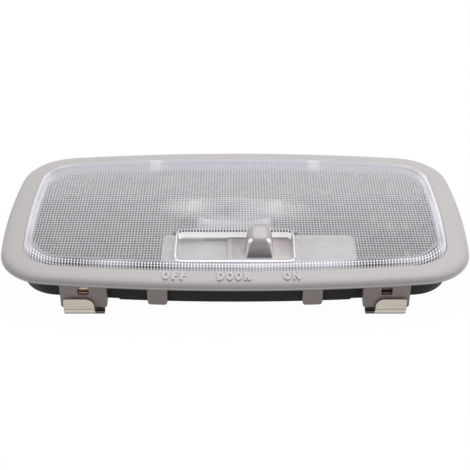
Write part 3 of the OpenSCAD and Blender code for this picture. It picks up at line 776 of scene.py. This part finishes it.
def prism_lens(name):
    """The prisms on the underside of the lens: milky ribs, and clear points that show what lies below, with
    painted reflections of the bright tray below as soft clouds, and painted light that is lighter towards the
    rear and along the front.
    """
    material, tree, shader = blank_material(name)
    sizes = bpy.context.scene.dome_light_sizes
    grid = place_group(tree, "PrismGrid", make_prism_group, Pitch=sizes.prism_pitch, Row=sizes.prism_row)
    blotches = grain(tree, Blotch_Scale=160.0, Blotch=0.12)
    x, y, _ = object_place(tree)
    at_rear = ramp(tree, y, 4 * MM, 22 * MM)
    at_front = ramp(tree, times(tree, y, -1.0), 12 * MM, 22 * MM)
    # Painted reflections of the bright tray below, as soft clouds
    patches = []
    for cloud_x, cloud_y, half_x, half_y in PAINTED_TRAY_REFLECTIONS:
        across, along = minus(tree, x, cloud_x * MM), minus(tree, y, cloud_y * MM)
        patches.append(soft_patch(tree, across, along, half_x * MM, half_y * MM))
    painted_tray_reflection = calc(tree, "MINIMUM", 1.0, plus(tree, *patches))
    # Painted light: lighter towards the rear, and lighter again along the front and in the clouds
    painted_light_slope = plus(tree, times(tree, y, 7.5), 1.02)
    whiter = plus(tree, painted_light_slope, times(tree, painted_tray_reflection, 0.3), times(tree, at_front, 0.16))
    tint(tree, (0.79, 0.79, 0.815), times(tree, blotches["Tone"], whiter), shader)
    clouded = plus(tree, times(tree, at_rear, 0.4), times(tree, painted_tray_reflection, 0.44))
    clearness = times(tree, grid["Spots"], minus(tree, 0.68, clouded))
    tree.links.new(let_light_in(tree, minus(tree, 0.74, clearness), 0.85), shader.inputs["Alpha"])
    shader.inputs["Roughness"].default_value = 0.12
    return material


def finishes():
    """All of the lamp's materials, made once."""
    colours = bpy.context.scene.dome_light_colours
    made = {}

    def keep(name, build, *values, **more):
        title = name + "_finish"
        made[name] = bpy.data.materials.get(title) or build(title, *values, **more)

    keep("grey_plastic", frame_plastic, colours.frame)
    # A lighter copy of the frame's plastic: painted light on the raised words
    keep("raised_grey", plastic, tuple(min(1.0, part * 1.13) for part in colours.frame), 0.36)
    keep("dark_plastic", plastic, colours.housing, 0.45, relief=0.2, grain_scale=1400.0, shine=0.12)
    keep("pale_plastic", plate_plastic, (0.62, 0.6, 0.6))
    keep("knob_plastic", knob_plastic, colours.knob)
    keep("white_plastic", plastic, (0.8, 0.78, 0.72), 0.45)
    keep("spring_steel", sheet_metal, (0.56, 0.56, 0.54), 0.25)
    keep("copper_strip", sheet_metal, (0.2, 0.16, 0.12), 0.4)
    keep("nickel_cap", sheet_metal, (0.5, 0.49, 0.47), 0.6)
    keep("tungsten", sheet_metal, (0.22, 0.22, 0.23), 0.4)
    keep("reflector_sheet", sheet_metal, (0.86, 0.86, 0.88), 0.5)
    keep("clip_steel", clip_metal, colours.clip)
    keep("clip_tongue", sheet_metal, (0.45, 0.28, 0.19), 0.4)
    # A darker copy of the tongue's metal: painted shade on the right clips' tongues
    keep("clip_tongue_dark", sheet_metal, (0.16, 0.11, 0.1), 0.4)
    keep("bulb_glass", clear_glass)
    keep("clear_plastic", clear_lens)
    keep("prism_plastic", prism_lens)
    keep("lens_wall", lens_wall, (0.9, 0.9, 0.94), 0.45)
    # A duller copy of the milky wall: painted shade on the window's side walls
    keep("lens_side", lens_wall, (0.62, 0.6, 0.62), 0.0)
    keep("lens_inside", lens_inside)
    return made


# Settings


def length_setting(name, description, default, low, high):
    """A length that a user can set, with its limits in mm."""
    return bpy.props.FloatProperty(
        name=name,
        description=description,
        default=default,
        min=low * MM,
        max=high * MM,
        subtype="DISTANCE",
        unit="LENGTH",
    )


def colour_setting(name, description, default):
    """A colour that a user can set."""
    return bpy.props.FloatVectorProperty(
        name=name, description=description, default=default, size=3, min=0, max=1, subtype="COLOR"
    )


class DomeLightSizes(bpy.types.PropertyGroup):
    """Sizes of the pieces that are modelled here."""

    prism_pitch: length_setting("Prism pitch", "From one lens prism to the next", PRISM_PITCH, 0.8, 3)
    prism_row: length_setting("Prism row", "From one row of prisms to the next", PRISM_ROW, 0.8, 3)
    prism_height: length_setting("Prism height", "Height of a lens prism", 0.38 * MM, 0.1, 0.6)
    letter_height: length_setting("Letter height", "Height of the raised words", 4.8 * MM, 2, 5)
    letter_relief: length_setting("Letter relief", "How far the words stand up", 0.32 * MM, 0.05, 0.4)
    edge_round: length_setting("Edge round", "Rounding of moulded edges", 0.2 * MM, 0.05, 0.5)


class DomeLightColours(bpy.types.PropertyGroup):
    """Colours of the main finishes."""

    frame: colour_setting("Frame", "Colour of the frame's plastic", (0.55, 0.522, 0.522))
    lens: colour_setting("Lens", "Tint of the clear lens", (0.86, 0.84, 0.92))
    housing: colour_setting("Housing", "Colour of the rear housing", (0.042, 0.042, 0.037))
    knob: colour_setting("Knob", "Colour of the switch knob", (0.495, 0.455, 0.46))
    clip: colour_setting("Clips", "Colour of the spring clips", (0.52, 0.465, 0.405))


# Operators


class DOMELIGHT_OT_stage(bpy.types.Operator):
    """Camera, soft lamps, pale floor and white surroundings"""

    bl_idname = "domelight.stage"
    bl_label = "Stage"
    bl_options = {"REGISTER", "UNDO"}

    def execute(self, context):
        self.camera(context)
        self.lamps()
        self.floor()
        self.surroundings(context)
        return {"FINISHED"}

    def camera(self, context):
        """The photograph's camera, solved from the lamp's outline."""
        bpy.ops.object.camera_add(location=(0, -362.0 * MM, RIM_Z + 233.2 * MM))
        camera = context.object
        camera.name = "photo_camera"
        camera.data.lens = 84.6
        camera.data.sensor_width = 36.0
        camera.data.clip_start = 10 * MM
        aim = Vector((0, -12.2 * MM, RIM_Z)) - camera.location
        camera.rotation_euler = aim.to_track_quat("-Z", "Y").to_euler()
        context.scene.camera = camera

    def lamps(self):
        """Soft lamps that point at the middle: place and size in metres, power in watts."""
        for name, place, size, power in (
            ("top_lamp", (0.15, 0.54, 0.98), 0.9, 7.6),
            ("right_lamp", (0.8, -0.1, 0.55), 0.16, 2.2),
            ("left_lamp", (-0.8, -0.15, 0.5), 0.14, 1.2),
        ):
            bpy.ops.object.light_add(type="AREA", location=place)
            lamp = bpy.context.object
            lamp.name = name
            lamp.data.size = size
            lamp.data.energy = power
            lamp.rotation_euler = (-Vector(place)).to_track_quat("-Z", "Y").to_euler()

    def floor(self):
        """A plain floor, grey to the light and near white to the camera."""
        bpy.ops.object.select_all(action="DESELECT")
        bpy.ops.mesh.primitive_plane_add(size=12.0, location=(0, 0, 0))
        floor = new_piece("floor")
        settle(floor)
        material, tree, shader = blank_material("floor_white")
        shader.inputs["Base Color"].default_value = (0.38, 0.38, 0.38, 1)
        shader.inputs["Roughness"].default_value = 0.9
        glow = tree.nodes.new("ShaderNodeEmission")
        glow.inputs["Strength"].default_value = 1.04
        mix = tree.nodes.new("ShaderNodeMixShader")
        tree.links.new(times(tree, seen_sharply(tree), 0.94), mix.inputs["Fac"])
        tree.links.new(shader.outputs["BSDF"], mix.inputs[1])
        tree.links.new(glow.outputs["Emission"], mix.inputs[2])
        tree.links.new(mix.outputs["Shader"], tree.nodes["Material Output"].inputs["Surface"])
        floor.data.materials.append(material)

    def surroundings(self, context):
        """White all round to the camera, and a weaker light for the lamp."""
        world = bpy.data.worlds.new("studio_white")
        world.use_nodes = True
        tree = world.node_tree
        ground = tree.nodes["Background"]
        ground.inputs["Color"].default_value = (1, 1, 1, 1)
        ground.inputs["Strength"].default_value = 0.3
        white = tree.nodes.new("ShaderNodeBackground")
        white.inputs["Color"].default_value = (1, 1, 1, 1)
        mix = tree.nodes.new("ShaderNodeMixShader")
        tree.links.new(seen_sharply(tree), mix.inputs["Fac"])
        tree.links.new(ground.outputs[0], mix.inputs[1])
        tree.links.new(white.outputs[0], mix.inputs[2])
        tree.links.new(mix.outputs[0], tree.nodes["World Output"].inputs["Surface"])
        context.scene.world = world
        context.scene.view_settings.view_transform = "Standard"


class DOMELIGHT_OT_mouldings(bpy.types.Operator):
    """Frame, housing, switch base and carriage with rounded moulded edges"""

    bl_idname = "domelight.mouldings"
    bl_label = "Mouldings"
    bl_options = {"REGISTER", "UNDO"}

    def execute(self, context):
        finish = finishes()
        edge = context.scene.dome_light_sizes.edge_round / MM
        for node, name, slot, body, round_mm in (
            ("bezel", "frame_shell", "grey_plastic", LAMP, 0.0),
            ("rear_housing", "housing_shell", "dark_plastic", LAMP, edge),
            ("switch_base", "switch_base_plate", "pale_plastic", LAMP, edge / 2),
            ("slider_carriage", "slider_block", "white_plastic", KNOB, edge / 2),
        ):
            moulded_copy(node, name, finish[slot], body, round_mm)
        return {"FINISHED"}


class DOMELIGHT_OT_lens(bpy.types.Operator):
    """Clear lens with its field of small prisms"""

    bl_idname = "domelight.lens"
    bl_label = "Lens"
    bl_options = {"REGISTER", "UNDO"}

    def execute(self, context):
        finish = finishes()
        material = finish["clear_plastic"]
        skin = moulded_copy("lens", "lens_skin", material, LAMP, angle=30, flat=0.02)
        self.milky_walls(skin, finish)
        self.prism_field(context.scene.dome_light_sizes, finish)
        return {"FINISHED"}

    def milky_walls(self, skin, finish):
        """Gives the wall behind the switch window the milky finish with its painted glow, and its other walls
        the duller copy, which is painted shade.
        """

        def wall(centre, normal):
            return near_window(centre, WALL_REACH) and abs(normal.z) < 0.5

        def side_wall(centre, normal):
            return wall(centre, normal) and normal.y > -0.3

        finish_faces(skin, finish["lens_wall"], wall)
        finish_faces(skin, finish["lens_side"], side_wall)

    def prism_field(self, sizes, finish):
        """A sheet of square cells, cut to the lens and drawn down into points."""
        pitch, row = sizes.prism_pitch, sizes.prism_row
        columns, rows = 140, 48
        bpy.ops.object.select_all(action="DESELECT")
        bpy.ops.mesh.primitive_grid_add(
            x_subdivisions=columns, y_subdivisions=rows, size=1.0, location=(0, -row, 0)
        )
        field = new_piece("lens_prisms")
        field.scale = (columns * pitch, rows * row, 1)
        settle(field)
        bpy.ops.object.mode_set(mode="EDIT")
        bpy.ops.mesh.select_mode(type="FACE")

        def spare(centre, normal):
            on_lens = inside_outline(centre.x / MM, centre.y / MM, PRISM_INSET)
            return near_window(centre, HOLE_REACH) or not on_lens

        pick_faces(field, spare)
        bpy.ops.mesh.delete(type="FACE")
        bpy.ops.mesh.select_all(action="SELECT")
        bpy.ops.transform.translate(value=(0, 0, SHEET_TOP))
        bpy.ops.mesh.extrude_region_move(TRANSFORM_OT_translate={"value": (0, 0, -SHEET_THICKNESS)})
        bpy.ops.mesh.select_all(action="SELECT")
        bpy.ops.mesh.normals_make_consistent(inside=False)
        pick_faces(field, lambda centre, normal: normal.z < -0.9)
        bpy.ops.mesh.poke(offset=sizes.prism_height)
        bpy.ops.object.mode_set(mode="OBJECT")
        wear(field, finish["prism_plastic"], LAMP)
        finish_faces(field, finish["lens_inside"], lambda centre, normal: normal.z > -0.1)


class DOMELIGHT_OT_words(bpy.types.Operator):
    """Raised switch words on the front of the frame"""

    bl_idname = "domelight.words"
    bl_label = "Switch words"
    bl_options = {"REGISTER", "UNDO"}

    def execute(self, context):
        finish = finishes()
        sizes = context.scene.dome_light_sizes
        for word, spans in WORDS:
            select_only(*[self.letter(letter, *span, sizes) for letter, span in zip(word, spans)])
            bpy.ops.object.join()
            piece = new_piece("word_" + word.lower())
            bevel_edges(piece, 0.08 * MM, 1, 40)
            # The words wear the lighter copy of the frame's plastic, as painted light
            wear(piece, finish["raised_grey"], LAMP)
        return {"FINISHED"}

    def letter(self, letter, low_mm, high_mm, sizes):
        """One letter fitted between two X values, on the bowed front of the frame."""
        low, high = low_mm * MM, high_mm * MM
        bpy.ops.object.select_all(action="DESELECT")
        bpy.ops.object.text_add(location=(0, 0, 0))
        text = bpy.context.object
        text.data.body = letter
        text.data.extrude = 0.4 * MM
        text.data.offset = 0.6 * MM
        text.data.size = 10 * MM
        text.data.resolution_u = 6
        select_only(text)
        bpy.ops.object.convert(target="MESH")
        piece = new_piece("letter_" + letter.lower())
        width, height, _ = piece.dimensions
        piece.scale = ((high - low) / width, sizes.letter_height / height, 1)
        settle(piece)
        corners = [Vector(corner) for corner in piece.bound_box]
        mid_x = (min(corner.x for corner in corners) + max(corner.x for corner in corners)) / 2
        mid_y = (min(corner.y for corner in corners) + max(corner.y for corner in corners)) / 2
        x = (low + high) / 2
        y = WORD_Y + x**2 / (2 * WORD_BOW_RADIUS)
        piece.location = (x - mid_x, y - mid_y, WORD_FOOT + sizes.letter_relief)
        settle(piece)
        return piece


class DOMELIGHT_OT_switch(bpy.types.Operator):
    """Knob with its cover plate"""

    bl_idname = "domelight.switch"
    bl_label = "Switch knob"
    bl_options = {"REGISTER", "UNDO"}

    def execute(self, context):
        material = finishes()["knob_plastic"]
        moulded_copy("switch_knob", "knob_moulding", material, KNOB, 0.25, segments=3)
        return {"FINISHED"}


class DOMELIGHT_OT_metalwork(bpy.types.Operator):
    """Spring clips, contact strips, reflector and bulb"""

    bl_idname = "domelight.metalwork"
    bl_label = "Metalwork and bulb"
    bl_options = {"REGISTER", "UNDO"}

    def execute(self, context):
        finish = finishes()
        for end in ("front_left", "front_right", "rear_left", "rear_right"):
            node, name = "spring_clip_" + end, "clip_" + end
            clip = moulded_copy(node, name, finish["clip_steel"], LAMP, 0.08, 35)
            # The right clips' tongues take the darker copy, as painted shade
            tongue = finish["clip_tongue" if "left" in end else "clip_tongue_dark"]
            finish_faces(clip, tongue, lambda centre, normal: centre.z > TONGUE_FOOT)
        for node, name, slot, body, round_mm in (
            ("common_busbar", "common_strip", "copper_strip", LAMP, 0.06),
            ("power_busbar", "power_strip", "copper_strip", LAMP, 0.06),
            ("door_busbar", "door_strip", "copper_strip", LAMP, 0.06),
            ("ground_busbar", "ground_strip", "copper_strip", LAMP, 0.06),
            ("contact_bridge", "bridge_strip", "copper_strip", KNOB, 0.06),
            ("contact_spring", "bridge_spring", "spring_steel", KNOB, 0.0),
            ("reflector", "reflector_tray", "reflector_sheet", LAMP, 0.05),
            ("bulb_glass", "bulb_envelope", "bulb_glass", LAMP, 0.0),
            ("bulb_cap_left", "cap_left", "nickel_cap", LAMP, 0.1),
            ("bulb_cap_right", "cap_right", "nickel_cap", LAMP, 0.1),
            ("bulb_filament", "filament_wire", "tungsten", LAMP, 0.0),
        ):
            moulded_copy(node, name, finish[slot], body, round_mm)
        return {"FINISHED"}


STEPS = (
    DOMELIGHT_OT_stage,
    DOMELIGHT_OT_mouldings,
    DOMELIGHT_OT_lens,
    DOMELIGHT_OT_words,
    DOMELIGHT_OT_switch,
    DOMELIGHT_OT_metalwork,
)


class DOMELIGHT_PT_panel(bpy.types.Panel):
    """Sizes, colours and steps of the dome light"""

    bl_label = "Dome Light"
    bl_idname = "DOMELIGHT_PT_panel"
    bl_space_type = "VIEW_3D"
    bl_region_type = "UI"
    bl_category = "Dome Light"

    def draw(self, context):
        for settings, group in (
            (context.scene.dome_light_sizes, DomeLightSizes),
            (context.scene.dome_light_colours, DomeLightColours),
        ):
            for name in group.__annotations__:
                self.layout.prop(settings, name)
        for step in STEPS:
            self.layout.operator(step.bl_idname)


CLASSES = (DomeLightSizes, DomeLightColours, *STEPS, DOMELIGHT_PT_panel)


def register():
    for cls in CLASSES:
        bpy.utils.register_class(cls)
    bpy.types.Scene.dome_light_sizes = bpy.props.PointerProperty(type=DomeLightSizes)
    bpy.types.Scene.dome_light_colours = bpy.props.PointerProperty(type=DomeLightColours)


def unregister():
    del bpy.types.Scene.dome_light_colours
    del bpy.types.Scene.dome_light_sizes
    for cls in reversed(CLASSES):
        bpy.utils.unregister_class(cls)


def main():
    """Runs every step in order."""
    register()
    bpy.ops.domelight.stage()
    bpy.ops.domelight.mouldings()
    bpy.ops.domelight.lens()
    bpy.ops.domelight.words()
    bpy.ops.domelight.switch()
    bpy.ops.domelight.metalwork()


if __name__ == "__main__":
    main()
